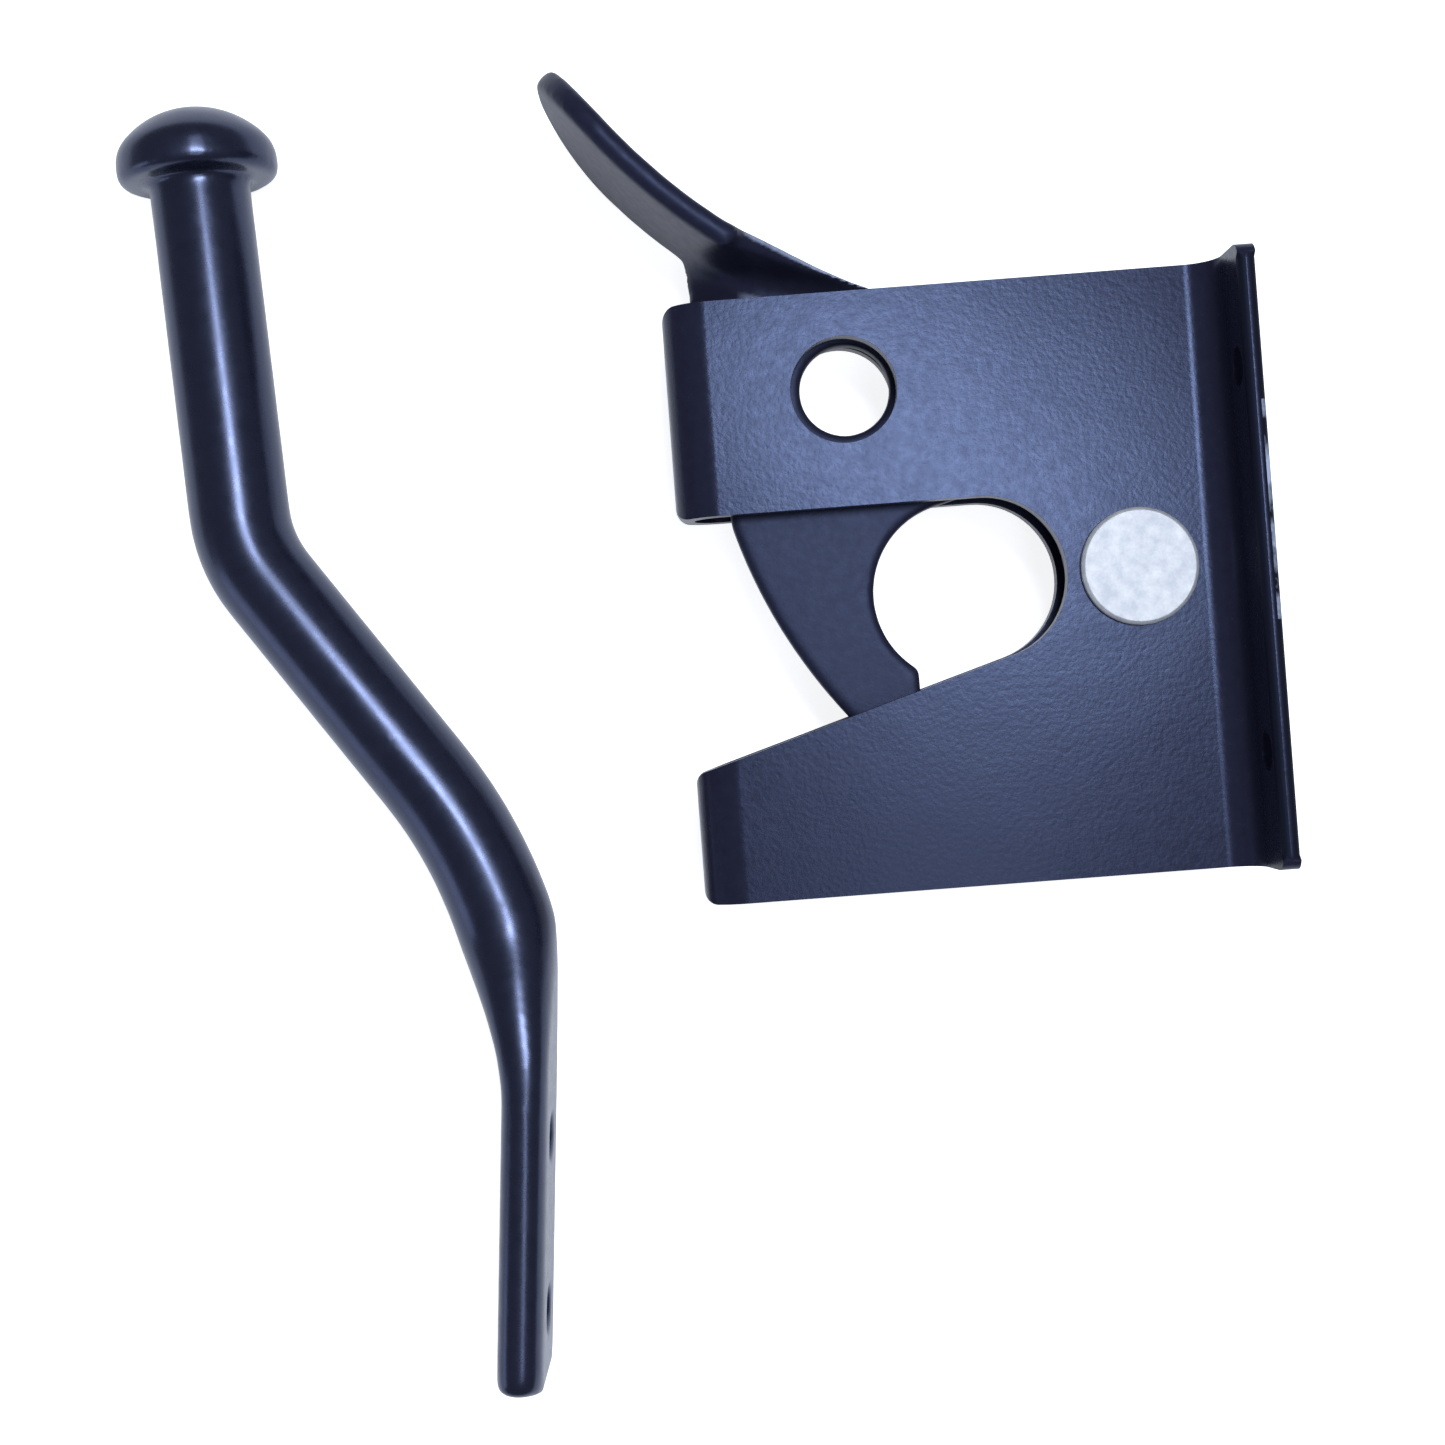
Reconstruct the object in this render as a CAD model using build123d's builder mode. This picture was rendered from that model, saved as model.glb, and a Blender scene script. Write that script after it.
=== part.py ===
from build123d import *
import os
from math import acos, atan2, cos, degrees, hypot, radians, sin

# A gravity gate latch and its strike bar, lying on a table.
# Origin: centre of the mounting face, where the latch meets its post.
# X points at the post, Y is up when the latch is mounted, Z is up from the table.

# Folded case
case_plate = 2.2
case_height = 74.4
case_length = 70.6
flange_reach = 11.8
flange_bend_radius = 4.0
flange_corner_radius = 2.0
nose_corner_radius = 1.6

# Post screw holes
post_screw_diameter = 4.8
post_screw_pitch = 46.0

# Pivot and rivet
pivot_setback = 14.2
pivot_rise = 0.6
rivet_shank_diameter = 8.0
rivet_head_diameter = 14.5
rivet_head_height = 1.3
rivet_head_bevel = 0.4
rivet_tail_diameter = 12.4
rivet_tail_height = 1.9
rivet_tail_bevel = 1.2
running_clearance = 0.08

# Mouth and seat
rod_diameter = 12.7
seat_play = 3.75
seat_from_pivot = 18.9
ramp_angle = 16.5

# Padlock hole
shackle_from_pivot = 34.6
shackle_rise = 24.5
shackle_hole_diameter = 13.2
pawl_hole_diameter = 11.3
pawl_hole_right = 0.4
pawl_hole_up = 0.5

# Pawl plate
pawl_plate = 3.0
pawl_side_gap = 1.8
pawl_nose_gap = 1.5
boss_radius = 10.7
throat_radius = 11.3
throat_shift = 2.3
throat_drop = 1.2
throat_clearance = 0.6
hook_back_top = 8.9
hook_back_slope = 3.2
hook_back_middle_x = -42.7
hook_back_middle_y = -7.2
hook_nose_x = -34.1
hook_nose_y = -18.8
hook_tip_angle = 235.8
hook_tip_depth = 6.8
hook_nose_radius = 1.8

# Twisted neck and thumb paddle
neck_width = 24.2
neck_rise = 0.3
twist_length = 7.1
twist_drift = 8.4
twist_steps = 4
neck_inset = 0.2
neck_overlap = 2.0
paddle_length = 30.2
paddle_width = 28.6
paddle_root_width = 25.2
paddle_root_skew = 2.8
paddle_tip_reach = 12.0
paddle_angle = 143.7
paddle_curl = 24.0

# Strike bar
head_diameter = 20.4
head_rim = 2.6
head_rim_bevel = 0.8
head_dome = 6.8
head_shoulder_radius = 4.0
leg_length = 42.9
first_bend_radius = 18.0
first_bend_angle = 32.1
slope_length = 31.6
second_bend_radius = 61.0
second_bend_angle = 40.0
flat_length = 38.2
flat_width = 21.5
flat_thickness = 5.8
flat_roundness = 0.8
press_steps = 4
press_ease = 1.5
rod_roundness = 0.99
bar_screw_diameter = 5.5
bar_screw_pitch = 22.0
bar_screw_end = 9.0

# Where the strike bar lies beside the latch
bar_head_x = -128.8
bar_head_y = 59.8
bar_turn = 2.65

# Worked out from the sizes above
case_depth = pawl_plate + 2 * pawl_side_gap + 2 * case_plate
side_middle = (case_depth - case_plate) / 2
half_span = case_depth / 2 + flange_reach
seat_radius = rod_diameter / 2 + seat_play
case_top = case_height / 2 - pivot_rise
pivot_at = (-pivot_setback, pivot_rise)
seat_at = (-pivot_setback - seat_from_pivot, pivot_rise)
shackle_at = (-pivot_setback - shackle_from_pivot, pivot_rise + shackle_rise)
pawl_hole_at = (shackle_at[0] + pawl_hole_right, shackle_at[1] + pawl_hole_up)
post_screw_row = case_depth / 2 + flange_bend_radius + half_span
flat_edge_radius = flat_roundness * flat_thickness / 2


# Case: one strip folded to a U with its ends turned out as flanges
with BuildPart() as latch_case:
    with BuildSketch(Plane.XZ):
        with BuildLine():
            bend_middle = flange_bend_radius + case_plate / 2
            nose_center = -case_length + case_depth / 2
            flange_low = Line(
                (-case_plate / 2, -half_span),
                (-case_plate / 2, -side_middle - bend_middle),
            )
            bend_low = JernArc(flange_low @ 1, flange_low % 1, bend_middle, 90)
            side_low = Line(bend_low @ 1, (nose_center, -side_middle))
            nose = JernArc(side_low @ 1, side_low % 1, side_middle, -180)
            side_high = Line(nose @ 1, (-case_plate / 2 - bend_middle, side_middle))
            bend_high = JernArc(side_high @ 1, side_high % 1, bend_middle, 90)
            Line(bend_high @ 1, (-case_plate / 2, half_span))
        trace(line_width=case_plate)
    extrude(amount=case_height / 2, both=True)

    # Side outline, with the mouth: flat on top, round seat, ramp below
    with BuildSketch() as side_outline:
        with Locations((-case_length / 2, 0)):
            Rectangle(case_length, case_height)
        with BuildLine():
            seat = CenterArc(seat_at, seat_radius, 90, ramp_angle - 180)
            mouth_run = (seat @ 1).X + case_length
            ramp_fall = mouth_run * sin(radians(ramp_angle)) / cos(radians(ramp_angle))
            ramp_end = (-case_length, (seat @ 1).Y - ramp_fall)
            ramp = Line(seat @ 1, ramp_end)
            roof_end = (-case_length, (seat @ 0).Y)
            Line(ramp @ 1, roof_end)
            Line(roof_end, seat @ 0)
        make_face(mode=Mode.SUBTRACT)
        fillet(side_outline.vertices().group_by(Axis.X)[0], radius=nose_corner_radius)
    extrude(amount=half_span, both=True, mode=Mode.INTERSECT)

    # Rounded flange corners
    fillet(latch_case.edges().filter_by(Axis.X).group_by(Axis.Z)[0], radius=flange_corner_radius)
    fillet(latch_case.edges().filter_by(Axis.X).group_by(Axis.Z)[-1], radius=flange_corner_radius)

    # Holes for rivet, padlock and post screws
    with Locations(pivot_at):
        Hole(radius=rivet_shank_diameter / 2)
    with Locations(shackle_at):
        Hole(radius=shackle_hole_diameter / 2)
    with BuildSketch(Plane.YZ):
        with GridLocations(post_screw_pitch, post_screw_row, 2, 2):
            Circle(post_screw_diameter / 2)
    extrude(amount=-case_plate * 2, mode=Mode.SUBTRACT)
latch_case.part.label = "latch_case"


# Rivet: flat head, shank and formed tail, turned about the pivot
rivet_plane = Plane(origin=(-pivot_setback, pivot_rise, 0), x_dir=(1, 0, 0), z_dir=(0, -1, 0))
with BuildPart() as pivot_rivet:
    with BuildSketch(rivet_plane) as rivet_half:
        with BuildLine():
            Polyline(
                (0, -case_depth / 2 - rivet_tail_height),
                (rivet_tail_diameter / 2, -case_depth / 2 - rivet_tail_height),
                (rivet_tail_diameter / 2, -case_depth / 2),
                (rivet_shank_diameter / 2, -case_depth / 2),
                (rivet_shank_diameter / 2, case_depth / 2),
                (rivet_head_diameter / 2, case_depth / 2),
                (rivet_head_diameter / 2, case_depth / 2 + rivet_head_height),
                (0, case_depth / 2 + rivet_head_height),
                close=True,
            )
        make_face()
    revolve(axis=Axis((-pivot_setback, pivot_rise, 0), (0, 0, 1)))
    chamfer(pivot_rivet.edges().group_by(Axis.Z)[-1], length=rivet_head_bevel)
    chamfer(pivot_rivet.edges().group_by(Axis.Z)[0], length=rivet_tail_bevel)
pivot_rivet.part.label = "pivot_rivet"


# Pawl: hook, throat and holes in flat plate, drawn about the pivot
neck_left = -case_length + pivot_setback + case_plate + pawl_nose_gap
neck_right = neck_left + neck_width
neck_base = case_top + neck_rise
seat_local = (-seat_from_pivot, 0)
throat_at = (-seat_from_pivot - throat_shift, -throat_drop)
neck_reach = hypot(neck_right, neck_base)
boss_tangent = atan2(neck_base, neck_right) - acos(boss_radius / neck_reach)
hook_tip = (
    throat_at[0] + throat_radius * cos(radians(hook_tip_angle)),
    throat_at[1] + throat_radius * sin(radians(hook_tip_angle)),
)
hook_foot = (hook_tip[0], hook_tip[1] - hook_tip_depth)
paddle_root = (neck_left + neck_width / 2 - twist_drift, neck_base + twist_length)
paddle_lean = radians(paddle_angle)
paddle_heading = Vector(cos(paddle_lean), sin(paddle_lean), 0)
paddle_chord = radians(paddle_angle - paddle_curl / 2)
paddle_center = paddle_length - paddle_tip_reach


# Thumb paddle: a curled tongue of plate with an oval end, standing across the pawl
with BuildPart() as paddle:
    with BuildSketch(Plane.XY.shift_origin(pivot_at)):
        with BuildLine():
            curl_radius = paddle_length / radians(paddle_curl)
            curl_start = Vector(paddle_root[0], paddle_root[1], 0)
            Line(curl_start - paddle_heading * paddle_root_skew, curl_start)
            JernArc(curl_start, paddle_heading, curl_radius, -paddle_curl)
        trace(line_width=pawl_plate)
    extrude(amount=paddle_width / 2, both=True)
    paddle_face = Plane(
        origin=(paddle_root[0] - pivot_setback, paddle_root[1] + pivot_rise, 0),
        x_dir=(cos(paddle_chord), sin(paddle_chord), 0),
        z_dir=(sin(paddle_chord), -cos(paddle_chord), 0),
    )
    with BuildSketch(paddle_face):
        with BuildLine():
            Polyline(
                (-paddle_root_skew, paddle_root_width / 2),
                (paddle_center, paddle_width / 2),
                (paddle_center, -paddle_width / 2),
                (paddle_root_skew, -paddle_root_width / 2),
                close=True,
            )
        make_face()
        with Locations((paddle_center, 0)):
            Ellipse(paddle_tip_reach, paddle_width / 2)
    extrude(amount=paddle_length, both=True, mode=Mode.INTERSECT)

with BuildPart() as pawl:
    with BuildSketch(Plane(origin=(-pivot_setback, pivot_rise, -pawl_plate / 2))) as pawl_outline:
        with BuildLine():
            back_top = (neck_left + hook_back_slope, hook_back_top)
            back_middle = (hook_back_middle_x, hook_back_middle_y)
            hook_nose = (hook_nose_x, hook_nose_y)
            Line((neck_left, neck_base), back_top)
            ThreePointArc(back_top, back_middle, hook_nose)
            Polyline(hook_nose, hook_foot, hook_tip, throat_at, seat_local, (0, 0))
            Line((0, 0), (boss_radius * cos(boss_tangent), boss_radius * sin(boss_tangent)))
            Line(
                (boss_radius * cos(boss_tangent), boss_radius * sin(boss_tangent)),
                (neck_right, neck_base),
            )
            Line((neck_right, neck_base), (neck_left, neck_base))
        make_face()
        Circle(boss_radius)
        with Locations(throat_at):
            Circle(throat_radius, mode=Mode.SUBTRACT)
        with Locations(seat_local):
            Circle(seat_radius + throat_clearance, mode=Mode.SUBTRACT)
        fillet(pawl_outline.vertices().group_by(Axis.Y)[0:2], radius=hook_nose_radius)
    extrude(amount=pawl_plate)

    # Neck: the plate turns a quarter, its near edge towards the viewer
    near_edge = Vector(0, 0, paddle_root_width / 2 - neck_inset) - paddle_heading * paddle_root_skew
    for step in range(twist_steps + 1):
        share = step / twist_steps
        left = Vector(neck_left, neck_base, 0)
        right = Vector(neck_right, neck_base, 0)
        root = Vector(paddle_root[0], paddle_root[1], 0) + paddle_heading * neck_overlap
        left_edge = left + (root - near_edge - left) * share
        right_edge = right + (root + near_edge - right) * share
        section_across = (right_edge - left_edge).normalized()
        heading = radians(90 + (paddle_angle - 90) * share)
        along = Vector(cos(heading), sin(heading), 0)
        along = along - section_across * along.dot(section_across)
        section_plane = Plane(
            origin=(left_edge + right_edge) * 0.5 + Vector(-pivot_setback, pivot_rise, 0),
            x_dir=section_across,
            z_dir=along,
        )
        with BuildSketch(section_plane):
            Rectangle((right_edge - left_edge).length, pawl_plate - neck_inset * share)
    loft()
    add(paddle.part)

    with Locations(pivot_at):
        Hole(radius=rivet_shank_diameter / 2 + running_clearance)
    with Locations(pawl_hole_at):
        Hole(radius=pawl_hole_diameter / 2)
pawl.part.label = "pawl"


# Strike bar: drawn in its own plane, from the underside of the head downwards
bar_drop = flat_width / 2 - head_diameter / 2
first_turn = radians(first_bend_angle)
last_turn = radians(second_bend_angle - first_bend_angle)
bends_span = first_bend_radius * sin(first_turn) + second_bend_radius * (sin(first_turn) + sin(last_turn))
bar_span = leg_length + slope_length * cos(first_turn) + bends_span
bar_pitch = degrees(atan2(bar_drop, bar_span))
bar_plane = Plane(
    origin=(bar_head_x, bar_head_y, -half_span + head_diameter / 2),
    x_dir=(cos(radians(bar_turn)), sin(radians(bar_turn)), 0),
    z_dir=(0, 0, 1),
).rotated((-bar_pitch, 0, 0))

dome_half_angle = degrees(atan2(head_dome - head_shoulder_radius, head_diameter / 2 - head_shoulder_radius))
head_shoulder_angle = 90 - 2 * dome_half_angle
dome_center_drop = (head_diameter / 2 - head_shoulder_radius) / cos(radians(head_shoulder_angle))
head_dome_radius = head_shoulder_radius + dome_center_drop

outer_plane = second_bend_radius + flat_thickness / 2
press_angle = degrees(acos(outer_plane / (second_bend_radius + rod_diameter / 2)))
with BuildLine(bar_plane) as bar_line:
    leg = Line((0, 0), (0, -leg_length))
    first_bend = JernArc(leg @ 1, leg % 1, first_bend_radius, first_bend_angle)
    slope = Line(first_bend @ 1, (first_bend @ 1) + (first_bend % 1) * slope_length)
    round_bend = JernArc(slope @ 1, slope % 1, second_bend_radius, press_angle - second_bend_angle)
with BuildLine(bar_plane):
    second_bend = JernArc(slope @ 1, slope % 1, second_bend_radius, -second_bend_angle)
flat_start = Plane(origin=second_bend @ 1, x_dir=bar_plane.z_dir, z_dir=second_bend % 1)


with BuildPart() as strike_bar:
    # Round rod
    with BuildSketch(Plane(origin=leg @ 0, x_dir=bar_plane.z_dir, z_dir=leg % 0)):
        Circle(rod_diameter / 2)
    sweep(path=bar_line.wires()[0])

    # Domed head
    with BuildSketch(bar_plane) as head_half:
        with BuildLine():
            underside = Line((0, 0), (head_diameter / 2, 0))
            rim = Line(underside @ 1, (head_diameter / 2, head_rim))
            shoulder = JernArc(rim @ 1, rim % 1, head_shoulder_radius, head_shoulder_angle)
            dome = JernArc(shoulder @ 1, shoulder % 1, head_dome_radius, 90 - head_shoulder_angle)
            Line(dome @ 1, (0, 0))
        make_face()
        chamfer(head_half.vertices().group_by(Axis.X)[-1].sort_by(Axis.Y)[0], length=head_rim_bevel)
    revolve(axis=Axis(bar_plane.origin, bar_plane.y_dir))

    # Round bar pressed out to the flat, its outer side in one plane
    for step in range(press_steps + 1):
        share = step / press_steps
        turn = press_angle * (1 - share)
        place = 1 - turn / second_bend_angle
        still_round = (1 - share) ** press_ease
        thickness = flat_thickness + (rod_diameter - flat_thickness) * still_round
        width = flat_width + (rod_diameter - flat_width) * still_round
        roundness = flat_roundness + (rod_roundness - flat_roundness) * still_round
        outward = (second_bend @ place - second_bend.arc_center).normalized()
        middle = second_bend.arc_center + outward * (outer_plane / cos(radians(turn)) - thickness / 2)
        with BuildSketch(Plane(origin=middle, x_dir=bar_plane.z_dir, z_dir=second_bend % place)):
            RectangleRounded(width, thickness, roundness * thickness / 2)
    loft(ruled=True)

    # Flat with its screw holes
    with BuildSketch(flat_start):
        RectangleRounded(flat_width, flat_thickness, flat_edge_radius)
    extrude(amount=flat_length)
    screw_row = flat_start.origin + flat_start.z_dir * (flat_length - bar_screw_end - bar_screw_pitch / 2)
    with BuildSketch(Plane(origin=screw_row, x_dir=flat_start.z_dir, z_dir=flat_start.y_dir)):
        with GridLocations(bar_screw_pitch, 0, 2, 1):
            Circle(bar_screw_diameter / 2)
    extrude(amount=flat_thickness, both=True, mode=Mode.SUBTRACT)
strike_bar.part.label = "strike_bar"


os.makedirs("parts", exist_ok=True)
for piece in (latch_case.part, pivot_rivet.part, pawl.part, strike_bar.part):
    export_step(piece, f"parts/{piece.label}.step")
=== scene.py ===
from math import radians

import bmesh
import bpy
import numpy
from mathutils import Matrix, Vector


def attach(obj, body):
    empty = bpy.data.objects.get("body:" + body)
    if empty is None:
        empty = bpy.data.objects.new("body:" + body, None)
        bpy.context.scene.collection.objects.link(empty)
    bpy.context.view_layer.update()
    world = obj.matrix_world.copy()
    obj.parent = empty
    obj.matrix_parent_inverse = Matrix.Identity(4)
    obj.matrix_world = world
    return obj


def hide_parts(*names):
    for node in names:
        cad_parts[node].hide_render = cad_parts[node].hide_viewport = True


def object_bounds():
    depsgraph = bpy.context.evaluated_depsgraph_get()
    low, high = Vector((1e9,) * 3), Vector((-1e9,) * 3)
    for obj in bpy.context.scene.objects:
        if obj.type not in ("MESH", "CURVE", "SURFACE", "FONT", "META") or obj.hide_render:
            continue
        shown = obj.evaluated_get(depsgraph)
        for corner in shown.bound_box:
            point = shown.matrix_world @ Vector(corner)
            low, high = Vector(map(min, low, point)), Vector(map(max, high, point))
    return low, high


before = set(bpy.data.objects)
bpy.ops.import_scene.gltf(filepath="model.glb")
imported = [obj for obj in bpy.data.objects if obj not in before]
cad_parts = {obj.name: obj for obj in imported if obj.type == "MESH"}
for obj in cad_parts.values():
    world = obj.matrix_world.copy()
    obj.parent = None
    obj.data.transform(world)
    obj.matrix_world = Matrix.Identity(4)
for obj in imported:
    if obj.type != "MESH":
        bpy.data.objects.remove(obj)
cadLow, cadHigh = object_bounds()

scene = bpy.context.scene
millimetre = 0.001


# Mesh helpers, with angles in degrees and lengths in mm

mergeGap = 0.002  # corners of a CAD mesh nearer than this are one corner
emptyGap = 0.0005  # edges shorter than this close up, which ends faces without area
flatWeight = 60
pullShare = 0.5


def makeObject(name, data):
    holder = bpy.data.objects.new(name, data)
    scene.collection.objects.link(holder)
    return holder


def copyOfNode(nodeName, flatAngle):
    bm = bmesh.new()
    bm.from_mesh(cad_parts[nodeName].data)
    bmesh.ops.remove_doubles(bm, verts=bm.verts, dist=mergeGap * millimetre)
    bmesh.ops.dissolve_limit(
        bm, angle_limit=radians(flatAngle), use_dissolve_boundaries=False,
        verts=bm.verts, edges=bm.edges,
    )
    bmesh.ops.recalc_face_normals(bm, faces=bm.faces)
    return bm


def roundEdges(bm, sharpAngle, radius, segments, inZone=None, clamp=True):
    sharp = [
        edge for edge in bm.edges
        if len(edge.link_faces) == 2 and edge.calc_face_angle() > radians(sharpAngle)
    ]
    if inZone:
        sharp = [edge for edge in sharp if inZone(edge.verts[0].co) and inZone(edge.verts[1].co)]
    mask = bm.loops.layers.float.get("edgeMask") or bm.loops.layers.float.new("edgeMask")
    made = bmesh.ops.bevel(
        bm, geom=sharp, offset=radius * millimetre, offset_type="OFFSET", segments=segments,
        profile=0.5, affect="EDGES", clamp_overlap=clamp, material=-1,
    )
    for face in made["faces"]:
        for corner in face.loops:
            corner[mask] = 1.0
    return made["faces"]


def evenSkin(bm, voxel):  # one closed skin of even squares, fine enough to be softened
    bmesh.ops.triangulate(bm, faces=bm.faces)
    rough = bpy.data.meshes.new("roughSkin")
    bm.to_mesh(rough)
    bm.free()
    holder = makeObject("roughSkin", rough)
    remesh = holder.modifiers.new("evenSkin", "REMESH")
    remesh.mode = "VOXEL"
    remesh.voxel_size = voxel * millimetre
    graph = bpy.context.evaluated_depsgraph_get()
    skin = bpy.data.meshes.new_from_object(holder.evaluated_get(graph))
    bpy.data.objects.remove(holder)
    bpy.data.meshes.remove(rough)
    return skin


# Each pass has its steps, how far it pushes out again what the steps drew in, and where it acts.
def softenSkin(skin, passes, shine=None):
    count = len(skin.vertices)
    points = numpy.empty(count * 3)
    skin.vertices.foreach_get("co", points)
    points = points.reshape(-1, 3)
    normals = numpy.empty(count * 3)
    ends = numpy.empty(len(skin.edges) * 2, dtype=numpy.int32)
    skin.edges.foreach_get("vertices", ends)
    first, second = ends[0::2], ends[1::2]
    neighbours = numpy.bincount(ends, minlength=count)

    def pull(share):  # towards the middle of each point's neighbours
        for axis in range(3):
            column = points[:, axis]
            total = numpy.bincount(first, weights=column[second], minlength=count)
            total += numpy.bincount(second, weights=column[first], minlength=count)
            points[:, axis] = column + share * (total / neighbours - column)

    for steps, refill, zone in passes:
        weight = zone(points / millimetre)
        for step in range(steps):
            pull(pullShare * weight)
        skin.vertices.foreach_set("co", points.ravel())
        skin.update()
        skin.vertices.foreach_get("normal", normals)
        points += normals.reshape(-1, 3) * (weight * refill * millimetre)[:, None]
    skin.vertices.foreach_set("co", points.ravel())
    skin.update()
    if shine:
        mask = skin.attributes.new("paintedShineMask", "FLOAT", "POINT")
        skin.vertices.foreach_get("normal", normals)
        mask.data.foreach_set("value", shine(points / millimetre, normals.reshape(-1, 3)))
    bm = bmesh.new()
    bm.from_mesh(skin)
    bpy.data.meshes.remove(skin)
    return bm


def ramp(values, start, end):
    return numpy.clip((values - start) / (end - start), 0.0, 1.0)


def everywhere(points):
    return numpy.ones(len(points))


def finishPiece(name, bm, body, nodeName, material, flatFaces=False):
    for face in bm.faces:
        face.smooth = True
        face.material_index = 0
    mesh = bpy.data.meshes.new(name)
    bm.to_mesh(mesh)
    bm.free()
    mesh.update()
    mesh.materials.append(material)
    piece = makeObject(name, mesh)
    if flatFaces:
        normals = piece.modifiers.new("flatFaces", "WEIGHTED_NORMAL")
        normals.weight = flatWeight
        normals.keep_sharp = True
    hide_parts(nodeName)
    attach(piece, body)


# Shader helpers

def addNode(tree, kind, values=None, **settings):
    node = tree.nodes.new(kind)
    for key, value in settings.items():
        setattr(node, key, value)
    for key, value in (values or {}).items():
        node.inputs[key].default_value = value
    return node


def startGroup(name, inputs, outputs):
    group = bpy.data.node_groups.new(name, "ShaderNodeTree")
    for socketName, kind in inputs.items():
        group.interface.new_socket(socketName, in_out="INPUT", socket_type="NodeSocket" + kind)
    for socketName, kind in outputs.items():
        group.interface.new_socket(socketName, in_out="OUTPUT", socket_type="NodeSocket" + kind)
    return group, group.nodes.new("NodeGroupInput"), group.nodes.new("NodeGroupOutput")


def startMaterial(name):
    material = bpy.data.materials.new(name)
    material.use_nodes = True
    tree = material.node_tree
    tree.nodes.clear()
    output = tree.nodes.new("ShaderNodeOutputMaterial")
    return material, tree, output


# Powder coat: orange peel on long waves, a mottled colour, dull edges with painted shade, bare
# metal and painted highlights

def mixColours(tree, factor, first, second):
    mix = addNode(tree, "ShaderNodeMix", data_type="RGBA")
    tree.links.new(factor, mix.inputs["Factor"])
    tree.links.new(first, mix.inputs["A"])
    tree.links.new(second, mix.inputs["B"])
    return mix.outputs["Result"]


def makePowderCoatGroup():
    group, source, result = startGroup("powderCoat", {
        "Coordinates": "Vector",
        "Base Color": "Color",
        "Lighter Color": "Color",
        "Edge Shade Color": "Color",
        "Bare And Glint Color": "Color",
        "Least Roughness": "Float",
        "Most Roughness": "Float",
        "Edge Roughness": "Float",
        "Edge Mask": "Float",
        "Bare And Glint Mask": "Float",
        "Peel Size": "Float",
        "Mottle Size": "Float",
        "Wave Size": "Float",
        "Wave Height": "Float",
    }, {"Color": "Color", "Roughness": "Float", "Height": "Float"})
    link = group.links.new
    given = source.outputs
    peel = addNode(group, "ShaderNodeTexNoise", {"Detail": 3.0, "Roughness": 0.55})
    mottle = addNode(group, "ShaderNodeTexNoise", {"Detail": 4.0, "Roughness": 0.6})
    wave = addNode(group, "ShaderNodeTexNoise", {"Detail": 1.0, "Roughness": 0.4})
    for texture, size in ((peel, "Peel Size"), (mottle, "Mottle Size"), (wave, "Wave Size")):
        link(given["Coordinates"], texture.inputs["Vector"])
        link(given[size], texture.inputs["Scale"])

    height = addNode(group, "ShaderNodeMath", operation="MULTIPLY_ADD")
    link(wave.outputs["Fac"], height.inputs[0])
    link(given["Wave Height"], height.inputs[1])
    link(peel.outputs["Fac"], height.inputs[2])
    link(height.outputs[0], result.inputs["Height"])

    mottled = mixColours(group, mottle.outputs["Fac"], given["Base Color"], given["Lighter Color"])
    # painted shade: the rounded edges darken towards a share of the base colour
    edgeShaded = mixColours(group, given["Edge Mask"], mottled, given["Edge Shade Color"])
    # worn-bare patches and painted highlights take the bare-and-glint colour
    bareAndGlinted = mixColours(group, given["Bare And Glint Mask"], edgeShaded, given["Bare And Glint Color"])
    link(bareAndGlinted, result.inputs["Color"])

    rough = addNode(group, "ShaderNodeMapRange", {"From Min": 0.3, "From Max": 0.7})
    link(mottle.outputs["Fac"], rough.inputs["Value"])
    link(given["Least Roughness"], rough.inputs["To Min"])
    link(given["Most Roughness"], rough.inputs["To Max"])
    roughEdge = addNode(group, "ShaderNodeMix", data_type="FLOAT")
    link(given["Edge Mask"], roughEdge.inputs["Factor"])
    link(rough.outputs["Result"], roughEdge.inputs["A"])
    link(given["Edge Roughness"], roughEdge.inputs["B"])
    link(roughEdge.outputs["Result"], result.inputs["Roughness"])
    return group


powderCoat = makePowderCoatGroup()

coatLook = {
    "case": {
        "base": (0.0125, 0.0130, 0.0280), "lighter": (0.0190, 0.0200, 0.0410),
        # bare-and-glint colour: worn metal and painted highlight streaks on the flange rims
        "bareAndGlint": (0.42, 0.48, 0.66), "tint": (0.43, 0.56, 1.0),
        "gloss": 0.24, "roughness": 0.25,
        "peelSize": 1600.0, "peelHeight": 0.0200, "mottleSize": 800.0,
        "waveSize": 85.0, "waveHeight": 3.0,
    },
    "pawl": {
        "base": (0.0125, 0.0130, 0.0280), "lighter": (0.0190, 0.0200, 0.0410),
        # on the pawl this colour is a painted highlight along the neck's cut edge
        "bareAndGlint": (0.38, 0.45, 0.64), "tint": (0.43, 0.56, 1.0),
        "gloss": 0.24, "roughness": 0.42,
        "peelSize": 1600.0, "peelHeight": 0.0200, "mottleSize": 800.0,
        "waveSize": 85.0, "waveHeight": 2.5,
    },
    "bar": {
        "base": (0.0070, 0.0075, 0.0165), "lighter": (0.0105, 0.0115, 0.0240),
        "bareAndGlint": (0.42, 0.48, 0.66), "tint": (0.50, 0.60, 1.0),
        "gloss": 0.95, "roughness": 0.275,
        "peelSize": 1300.0, "peelHeight": 0.0040, "mottleSize": 500.0,
        "waveSize": 120.0, "waveHeight": 3.0,
    },
    "roughnessSpread": 0.03,
    "edgeRoughness": 0.6,
    "paintedEdgeShade": 0.4,  # painted shade on a rounded edge: the share of the base colour that is left there
}


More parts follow.
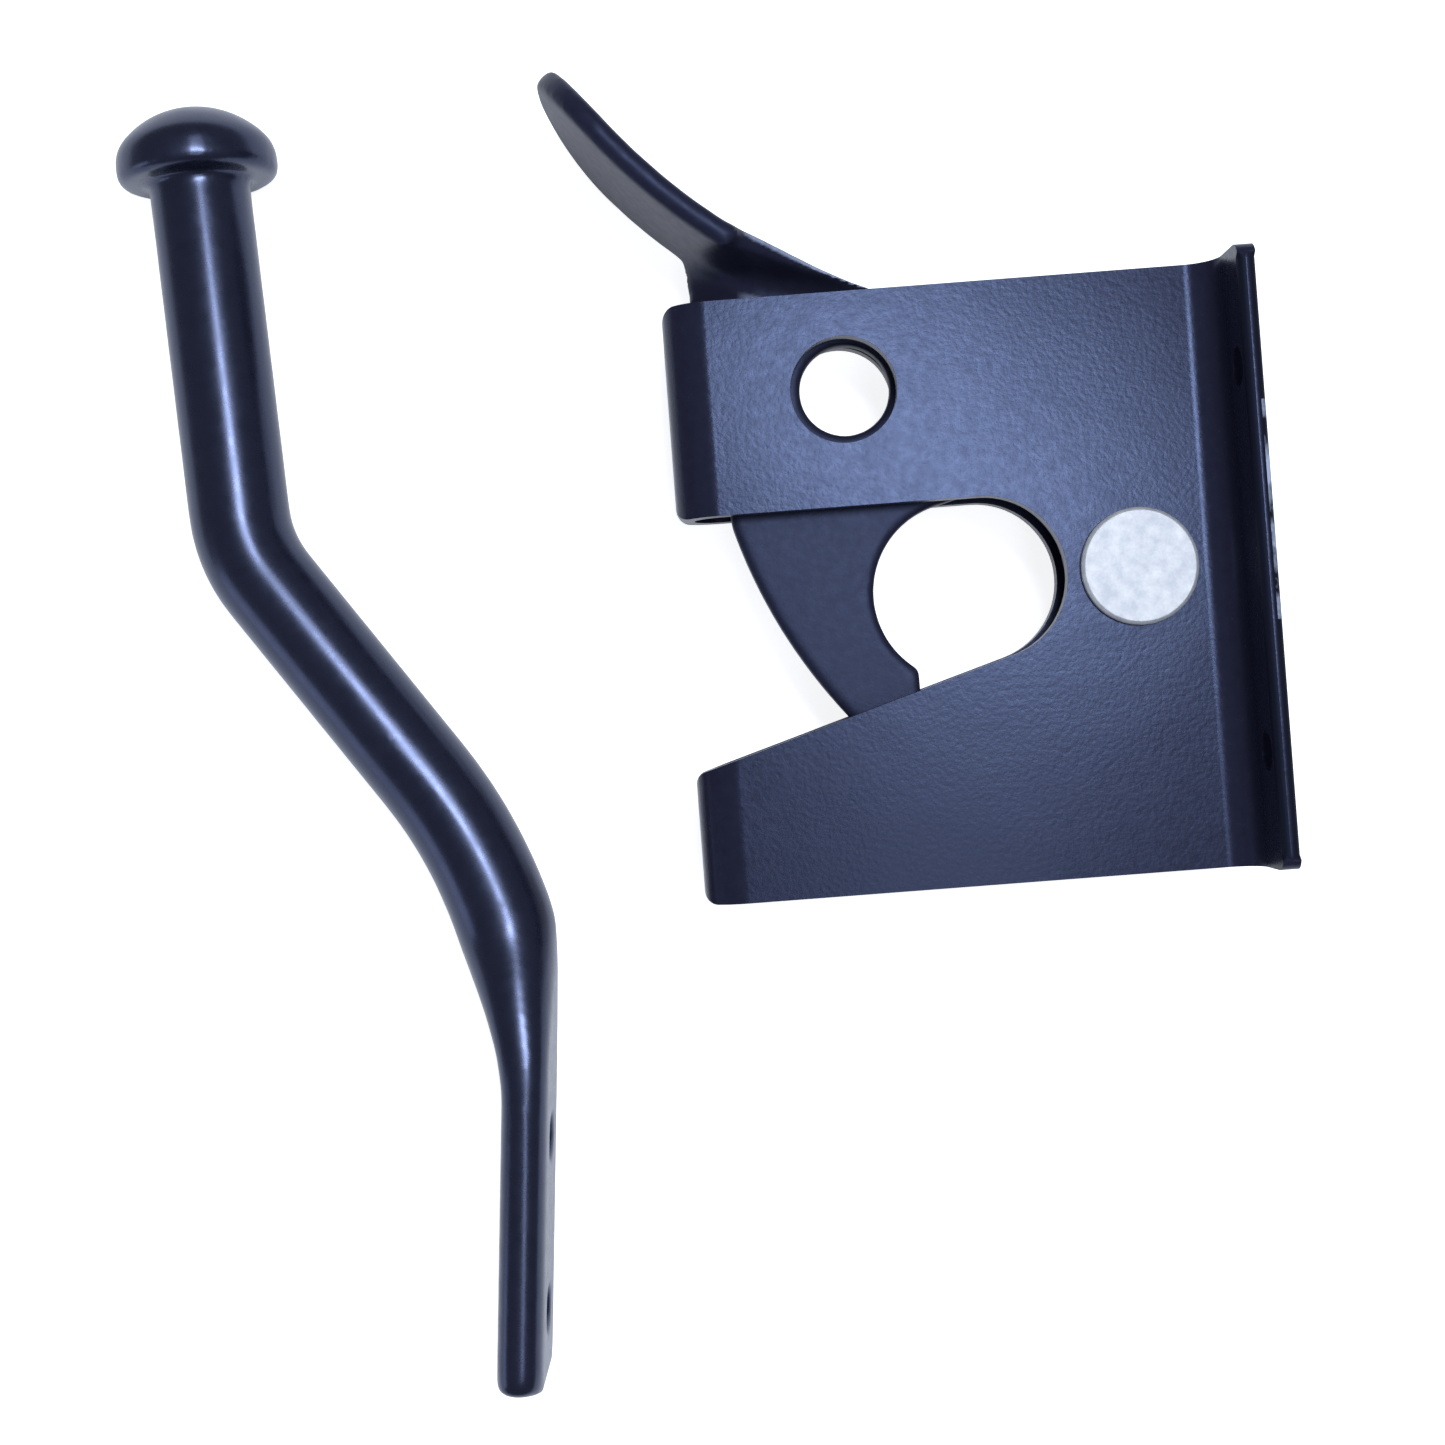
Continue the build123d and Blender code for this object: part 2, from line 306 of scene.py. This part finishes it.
def makeCoat(name, look, addMasks=None):
    material, tree, output = startMaterial(name)
    link = tree.links.new
    edgeShadeColour = [coatLook["paintedEdgeShade"] * part for part in look["base"]]
    coordinates = tree.nodes.new("ShaderNodeTexCoord")
    coat = tree.nodes.new("ShaderNodeGroup")
    coat.node_tree = powderCoat
    for socketName, value in {
        "Base Color": (*look["base"], 1.0),
        "Lighter Color": (*look["lighter"], 1.0),
        "Edge Shade Color": (*edgeShadeColour, 1.0),
        "Bare And Glint Color": (*look["bareAndGlint"], 1.0),
        "Least Roughness": look["roughness"] - coatLook["roughnessSpread"],
        "Most Roughness": look["roughness"] + coatLook["roughnessSpread"],
        "Edge Roughness": coatLook["edgeRoughness"],
        "Peel Size": look["peelSize"],
        "Mottle Size": look["mottleSize"],
        "Wave Size": look["waveSize"],
        "Wave Height": look["waveHeight"],
    }.items():
        coat.inputs[socketName].default_value = value
    bump = addNode(tree, "ShaderNodeBump", {
        "Strength": 1.0, "Distance": look["peelHeight"] * millimetre,
    })
    shader = addNode(tree, "ShaderNodeBsdfPrincipled", {
        "Metallic": 0.0, "IOR": 1.5,
        "Specular IOR Level": look["gloss"], "Specular Tint": (*look["tint"], 1.0),
    })
    link(coordinates.outputs["Object"], coat.inputs["Coordinates"])
    link(coat.outputs["Height"], bump.inputs["Height"])
    link(coat.outputs["Color"], shader.inputs["Base Color"])
    link(coat.outputs["Roughness"], shader.inputs["Roughness"])
    link(bump.outputs["Normal"], shader.inputs["Normal"])
    link(shader.outputs["BSDF"], output.inputs["Surface"])
    if addMasks:
        addMasks(tree, coordinates, coat)
    return material


# The case is worn bare in patches with painted highlight streaks, on the flange's rims that face
# along +x and over a part of their height.
wearAndGlintLook = {
    "patchSize": 170.0, "patchDetail": 4.0, "patchRoughness": 0.65,
    "patchLeast": 0.43, "patchFull": 0.60, "middle": 5.5, "reach": 13.0,
}


def addCaseMasks(tree, coordinates, coat):
    link = tree.links.new
    # the bevelled edges get more roughness and painted shade
    edges = addNode(tree, "ShaderNodeAttribute", attribute_name="edgeMask")
    link(edges.outputs["Fac"], coat.inputs["Edge Mask"])

    # worn-bare patches with painted highlight streaks: noise patches on the marked rims, within a
    # band of Y
    patches = addNode(tree, "ShaderNodeTexNoise", {
        "Scale": wearAndGlintLook["patchSize"], "Detail": wearAndGlintLook["patchDetail"],
        "Roughness": wearAndGlintLook["patchRoughness"],
    })
    patchMask = addNode(tree, "ShaderNodeMapRange", {
        "From Min": wearAndGlintLook["patchLeast"], "From Max": wearAndGlintLook["patchFull"],
    })
    link(coordinates.outputs["Object"], patches.inputs["Vector"])
    link(patches.outputs["Fac"], patchMask.inputs["Value"])

    axes = tree.nodes.new("ShaderNodeSeparateXYZ")
    nearMiddle = addNode(tree, "ShaderNodeMath", {
        1: wearAndGlintLook["middle"] * millimetre, 2: wearAndGlintLook["reach"] * millimetre,
    }, operation="COMPARE")
    rims = addNode(tree, "ShaderNodeAttribute", attribute_name="wearAndGlintMask")
    rubbedAndGlinting = addNode(tree, "ShaderNodeMath", operation="MULTIPLY")
    link(coordinates.outputs["Object"], axes.inputs[0])
    link(axes.outputs["Y"], nearMiddle.inputs[0])
    link(nearMiddle.outputs[0], rubbedAndGlinting.inputs[0])
    link(rims.outputs["Fac"], rubbedAndGlinting.inputs[1])

    bareAndGlint = addNode(tree, "ShaderNodeMath", operation="MULTIPLY")
    link(patchMask.outputs["Result"], bareAndGlint.inputs[0])
    link(rubbedAndGlinting.outputs[0], bareAndGlint.inputs[1])
    link(bareAndGlint.outputs[0], coat.inputs["Bare And Glint Mask"])


def addPawlMasks(tree, coordinates, coat):
    # painted highlight: the neck's cut edge takes the lighter colour
    shine = addNode(tree, "ShaderNodeAttribute", attribute_name="paintedShineMask")
    tree.links.new(shine.outputs["Fac"], coat.inputs["Bare And Glint Mask"])


# Zinc plate, faintly spangled

zincLook = {
    "spangleSize": 620.0, "spangleDetail": 6.0, "spangleRoughness": 0.7,
    "stops": ((0.35, (0.475, 0.51, 0.58, 1)), (0.7, (0.67, 0.695, 0.73, 1))),
    "metallic": 0.5, "roughness": 0.6,
}


def makeZinc():
    material, tree, output = startMaterial("zincPlate")
    link = tree.links.new
    coordinates = tree.nodes.new("ShaderNodeTexCoord")
    spangle = addNode(tree, "ShaderNodeTexNoise", {
        "Scale": zincLook["spangleSize"], "Detail": zincLook["spangleDetail"],
        "Roughness": zincLook["spangleRoughness"],
    })
    colours = tree.nodes.new("ShaderNodeValToRGB")
    for stop, (place, colour) in zip(colours.color_ramp.elements, zincLook["stops"]):
        stop.position = place
        stop.color = colour
    shader = addNode(tree, "ShaderNodeBsdfPrincipled", {
        "Metallic": zincLook["metallic"], "Roughness": zincLook["roughness"],
    })
    link(coordinates.outputs["Object"], spangle.inputs["Vector"])
    link(spangle.outputs["Fac"], colours.inputs["Fac"])
    link(colours.outputs["Color"], shader.inputs["Base Color"])
    link(shader.outputs["BSDF"], output.inputs["Surface"])
    return material


caseCoat = makeCoat("satinPowderCoat", coatLook["case"], addCaseMasks)
pawlCoat = makeCoat("mattPowderCoat", coatLook["pawl"], addPawlMasks)
barCoat = makeCoat("glossPowderCoat", coatLook["bar"])
zincPlate = makeZinc()
print("materials done")


# Latch case: its cut edges are just broken, and the flanges' rims are rounder

caseLook = {
    "flatAngle": 0.5, "edgeAngle": 35, "edgeRadius": 0.45, "edgeSegments": 3,
    "flangeAngle": 60, "flangeRadius": 0.95, "flangeSegments": 5, "flangeTop": 17.2,
    "wearAndGlintFacing": 0.2,
}


def onFlangeRim(point):
    return abs(point.z) > caseLook["flangeTop"] * millimetre


def makeCase():
    bm = copyOfNode("latch_case", caseLook["flatAngle"])
    rim = roundEdges(
        bm, caseLook["flangeAngle"], caseLook["flangeRadius"], caseLook["flangeSegments"],
        onFlangeRim, clamp=False,
    )
    # rim faces turned along +x get worn-bare patches and painted highlight streaks
    wear = bm.loops.layers.float.new("wearAndGlintMask")
    for face in rim:
        if face.normal.x > caseLook["wearAndGlintFacing"]:
            for corner in face.loops:
                corner[wear] = 1.0
    roundEdges(bm, caseLook["edgeAngle"], caseLook["edgeRadius"], caseLook["edgeSegments"])
    bmesh.ops.remove_doubles(bm, verts=bm.verts, dist=emptyGap * millimetre)
    finishPiece(
        "latchCase", bm, "case_and_bar", "latch_case", caseCoat,
        flatFaces=True,
    )


makeCase()
print("case done")


# Pawl: softened all over, and more on the paddle

pawlLook = {
    "flatAngle": 0.5, "voxel": 0.34, "softSteps": 12, "softRefill": 0.0,
    "paddleSteps": 34, "paddleRefill": 0.03, "paddleStart": 37.5, "paddleFull": 40.5,
}
cutEdgeHighlight = {  # painted highlight along the cut edge of the twisted neck, found by the way it faces
    "facing": (0.279, 0.532, 0.800), "facingLeast": 0.82, "facingFull": 0.97,
    "left": -61.0, "leftFade": 2.0, "right": -43.0, "low": 36.5,
}


def onPaddle(points):
    return ramp(points[:, 1], pawlLook["paddleStart"], pawlLook["paddleFull"])


def onCutEdgeHighlight(points, normals):
    inside = ramp(points[:, 0], cutEdgeHighlight["left"], cutEdgeHighlight["left"] + cutEdgeHighlight["leftFade"])
    inside = inside * (points[:, 0] < cutEdgeHighlight["right"]) * (points[:, 1] > cutEdgeHighlight["low"])
    turned = normals @ numpy.array(cutEdgeHighlight["facing"])
    return inside * ramp(turned, cutEdgeHighlight["facingLeast"], cutEdgeHighlight["facingFull"])


def makePawl():
    # the neck's cut edge also gets a mask of painted highlight
    skin = evenSkin(copyOfNode("pawl", pawlLook["flatAngle"]), pawlLook["voxel"])
    bm = softenSkin(skin, (
        (pawlLook["softSteps"], pawlLook["softRefill"], everywhere),
        (pawlLook["paddleSteps"], pawlLook["paddleRefill"], onPaddle),
    ), onCutEdgeHighlight)
    finishPiece("pawlArm", bm, "pawl", "pawl", pawlCoat)


makePawl()
print("pawl done")


# Rivet

rivetLook = {"flatAngle": 0.5, "edgeAngle": 35, "edgeRadius": 0.1, "edgeSegments": 2}


def makeRivet():
    bm = copyOfNode("pivot_rivet", rivetLook["flatAngle"])
    roundEdges(bm, rivetLook["edgeAngle"], rivetLook["edgeRadius"], rivetLook["edgeSegments"])
    finishPiece(
        "pivotRivet", bm, "case_and_bar", "pivot_rivet", zincPlate,
        flatFaces=True,
    )


makeRivet()
print("rivet done")


# Strike bar: softened all over, and more along the flat's edges and where the press begins

barLook = {
    "flatAngle": 0.3, "voxel": 0.42, "softSteps": 10, "softRefill": 0.03,
    "flatSteps": 60, "flatRefill": 0.05, "flatStart": -50.0, "flatFade": 10.0,
    "flatMiddle": -6.47, "flatEdgeStart": 6.5, "flatEdgeFull": 8.5,
    "pressSteps": 110, "pressRefill": 0.34, "pressMiddle": -40.0,
    "pressReach": 15.0, "pressFade": 10.0,
}


def onFlatEdge(points):
    start = -barLook["flatStart"]
    alongFlat = ramp(-points[:, 1], start, start + barLook["flatFade"])
    fromMiddle = abs(points[:, 2] - barLook["flatMiddle"])
    return alongFlat * ramp(fromMiddle, barLook["flatEdgeStart"], barLook["flatEdgeFull"])


def nearPress(points):
    fromMiddle = abs(points[:, 1] - barLook["pressMiddle"])
    reach = barLook["pressReach"]
    return 1.0 - ramp(fromMiddle, reach - barLook["pressFade"], reach)


def makeBar():
    skin = evenSkin(copyOfNode("strike_bar", barLook["flatAngle"]), barLook["voxel"])
    bm = softenSkin(skin, (
        (barLook["softSteps"], barLook["softRefill"], everywhere),
        (barLook["flatSteps"], barLook["flatRefill"], onFlatEdge),
        (barLook["pressSteps"], barLook["pressRefill"], nearPress),
    ))
    finishPiece("strikeBar", bm, "case_and_bar", "strike_bar", barCoat)


makeBar()
print("bar done")


# Table: plain white to the camera, dimmer in reflections, and it keeps the shadows

tableLook = {"size": 3.0, "colour": (0.72, 0.76, 0.86, 1.0), "glow": 0.85, "mirrored": 0.4}


def makeTablePaint():
    material, tree, output = startMaterial("whiteTable")
    link = tree.links.new
    surface = addNode(tree, "ShaderNodeBsdfDiffuse", {"Color": tableLook["colour"]})
    path = tree.nodes.new("ShaderNodeLightPath")
    seen = addNode(tree, "ShaderNodeMath", {1: tableLook["mirrored"]}, operation="MULTIPLY_ADD")
    glow = addNode(tree, "ShaderNodeMath", {1: tableLook["glow"]}, operation="MULTIPLY")
    emission = tree.nodes.new("ShaderNodeEmission")
    total = tree.nodes.new("ShaderNodeAddShader")
    link(path.outputs["Is Glossy Ray"], seen.inputs[0])
    link(path.outputs["Is Camera Ray"], seen.inputs[2])
    link(seen.outputs[0], glow.inputs[0])
    link(glow.outputs[0], emission.inputs["Strength"])
    link(surface.outputs["BSDF"], total.inputs[0])
    link(emission.outputs["Emission"], total.inputs[1])
    link(total.outputs["Shader"], output.inputs["Surface"])
    return material


def makeTable():
    bm = bmesh.new()
    bmesh.ops.create_grid(bm, x_segments=1, y_segments=1, size=tableLook["size"] / 2)
    bmesh.ops.translate(bm, verts=bm.verts, vec=(0, 0, cadLow.z))
    mesh = bpy.data.meshes.new("table")
    bm.to_mesh(mesh)
    bm.free()
    mesh.materials.append(makeTablePaint())
    table = makeObject("table", mesh)


makeTable()
print("table done")


# World and lamps: a key lamp and a long strip over the camera's right side, a low lamp on the left

cameraPlace = Vector((-66.8, -14.7, 271.5)) * millimetre
keyPlace = cameraPlace + Vector((88, 100, 330)) * millimetre
stripPlace = keyPlace + Vector((0, 0, 60)) * millimetre

worldLook = {"colour": (0.85, 0.9, 1.0, 1), "strength": 0.18}
lampLook = {
    "keyLamp": {
        "place": keyPlace, "target": (cameraPlace.x, cameraPlace.y, 0),
        "size": (0.20, 0.08), "power": 2.1, "colour": (0.9, 0.94, 1.0),
    },
    "stripLamp": {
        "place": stripPlace, "target": (stripPlace.x, stripPlace.y, 0),
        "size": (0.10, 0.90), "power": 1.6, "colour": (0.9, 0.94, 1.0),
    },
    "sideLamp": {
        "place": (-0.80, -0.30, 0.14), "target": (-0.08, 0, 0),
        "size": (0.30, 0.30), "power": 0.5, "colour": (0.75, 0.82, 1.0),
    },
}


def addLamp(name, look):
    lamp = bpy.data.lights.new(name, "AREA")
    lamp.shape = "RECTANGLE"
    lamp.size, lamp.size_y = look["size"]
    lamp.energy = look["power"]
    lamp.color = look["colour"]
    holder = makeObject(name, lamp)
    holder.location = look["place"]
    aim = Vector(look["target"]) - Vector(look["place"])
    holder.rotation_euler = aim.to_track_quat("-Z", "Y").to_euler()


world = bpy.data.worlds.new("softRoom")
scene.world = world
world.use_nodes = True
background = world.node_tree.nodes["Background"]
background.inputs["Color"].default_value = worldLook["colour"]
background.inputs["Strength"].default_value = worldLook["strength"]
for lampName, look in lampLook.items():
    addLamp(lampName, look)
print("lamps done")


# Camera: straight above the pair and turned a little, as in the photograph

viewLook = {
    "turn": -4.35, "focalPixels": 2160, "pictureSize": 1445,
    "sensorWidth": 36.0, "nearest": 0.01, "farthest": 10.0,
}


def addCamera():
    data = bpy.data.cameras.new("photoCamera")
    data.sensor_width = viewLook["sensorWidth"]
    data.lens = data.sensor_width * viewLook["focalPixels"] / viewLook["pictureSize"]
    data.clip_start = viewLook["nearest"]
    data.clip_end = viewLook["farthest"]
    camera = makeObject("photoCamera", data)
    camera.location = cameraPlace
    camera.rotation_euler = (0, 0, radians(viewLook["turn"]))
    return camera


scene.camera = addCamera()
scene.view_settings.view_transform = "Standard"
print("camera done")

print("scene done")
